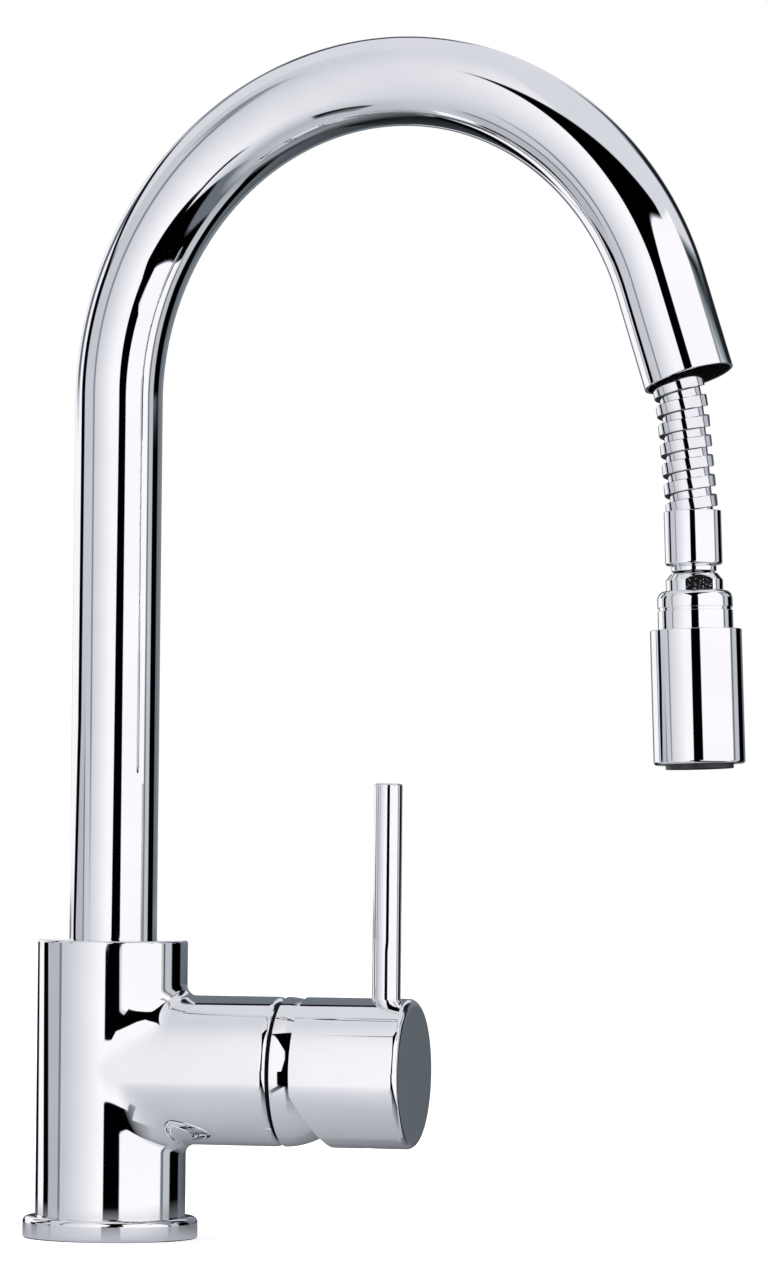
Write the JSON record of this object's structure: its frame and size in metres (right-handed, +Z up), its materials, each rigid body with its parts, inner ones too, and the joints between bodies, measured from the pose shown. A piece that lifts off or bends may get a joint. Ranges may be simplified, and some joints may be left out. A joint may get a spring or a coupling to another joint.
{
  "type": "sink mixer tap with pull-out spray",
  "caption": "Chromed single-lever gooseneck mixer: upright side lever on a domed cartridge branch, swivelling spout and a small cylindrical pull-out spray head.",
  "frame": {"origin": "on the body's axis at the underside of the base flange, which stands on the deck", "axes": "+Z up along the body's axis, +X the way the spout points at rest; the lever's branch is turned 13 degrees from +X towards +Y"},
  "size_m": [0.2473, 0.0735, 0.38],
  "materials": {
    "chrome": "polished",
    "hose_metal": "polished strip-wound metal",
    "brass": "machined",
    "steel": "machined",
    "rubber": "matt",
    "slide_plastic": "matt",
    "grey_plastic": "satin",
    "black_plastic": "matt",
    "ceramic": "lapped ceramic"
  },
  "bodies": {
    "base": {"mixer_body": "chrome", "base_flange": "chrome", "base_seal": "rubber", "hot_inlet_nipple": "brass", "cold_inlet_nipple": "brass", "outlet_nipple": "brass", "spout_thrust_washer": "slide_plastic", "spout_retaining_screw": "steel", "cartridge_base": "slide_plastic", "port_seals": "rubber", "fixed_ceramic_disc": "ceramic", "cartridge_housing": "slide_plastic", "cartridge_nut": "brass", "dome_collar": "chrome"},
    "rotor": {"cartridge_rotor": "slide_plastic", "pivot_pin": "steel"},
    "disc": {"moving_ceramic_disc": "ceramic", "disc_driver": "slide_plastic"},
    "lever": {"lever_stem": "brass", "handle_shell": "chrome", "handle_grub_screw": "steel", "handle_plug": "grey_plastic", "lever_rod": "chrome"},
    "spout": {"spout_tube": "chrome", "mouth_guide": "black_plastic", "spout_foot": "brass", "spout_slide_rings": "slide_plastic", "spout_o_ring": "rubber", "hose_foot_fitting": "brass", "hose_inner": "hose_metal"},
    "hose_end": {"hose_free": "hose_metal", "hose_ferrule": "chrome"},
    "swivel": {"swivel_neck": "chrome", "swivel_o_ring": "rubber"},
    "head": {"ball_housing": "chrome", "ball_seat": "slide_plastic", "inlet_washer": "rubber", "head_cap": "chrome", "head_body": "chrome", "head_sleeve": "chrome", "check_valve": "slide_plastic", "aerator_seal": "rubber", "aerator_housing": "black_plastic", "aerator_core": "black_plastic", "aerator_screen": "black_plastic"}
  },
  "joints": [
    {"name": "spout_swivel", "type": "hinge", "parent": "base", "child": "spout", "pos_m": [0, 0, 0.06], "axis": [0, 0, 1], "continuous": true},
    {"name": "pull_out", "type": "hinge", "parent": "spout", "child": "hose_end", "pos_m": [-0.06768, 0, 0.2211], "axis": [0, 1, 0], "range_deg": [-16, 8.5], "deforming": ["hose_free"]},
    {"name": "hose_swivel", "type": "hinge", "parent": "hose_end", "child": "swivel", "pos_m": [0.20221, 0, 0.22914], "axis": [0.0401, 0, -0.9992], "continuous": true},
    {"name": "head_tilt", "type": "hinge", "parent": "swivel", "child": "head", "pos_m": [0.20331, 0, 0.20197], "axis": [0, 1, 0], "range_deg": [-3, 3]},
    {"name": "temperature_turn", "type": "hinge", "parent": "base", "child": "rotor", "pos_m": [0, 0, 0.054], "axis": [0.9744, 0.225, 0], "range_deg": [-45, 45]},
    {"name": "flow_lift", "type": "hinge", "parent": "rotor", "child": "lever", "pos_m": [0.05651, 0.01305, 0.054], "axis": [-0.225, 0.9744, 0], "range_deg": [0, 25]},
    {"name": "disc_slide", "type": "slide", "parent": "rotor", "child": "disc", "axis": [0, 0, 1], "range_m": [0, 0.0069]}
  ],
  "couplings": [
    {"joint": "disc_slide", "follows": "flow_lift", "m_per_rad": 0.0155}
  ]
}
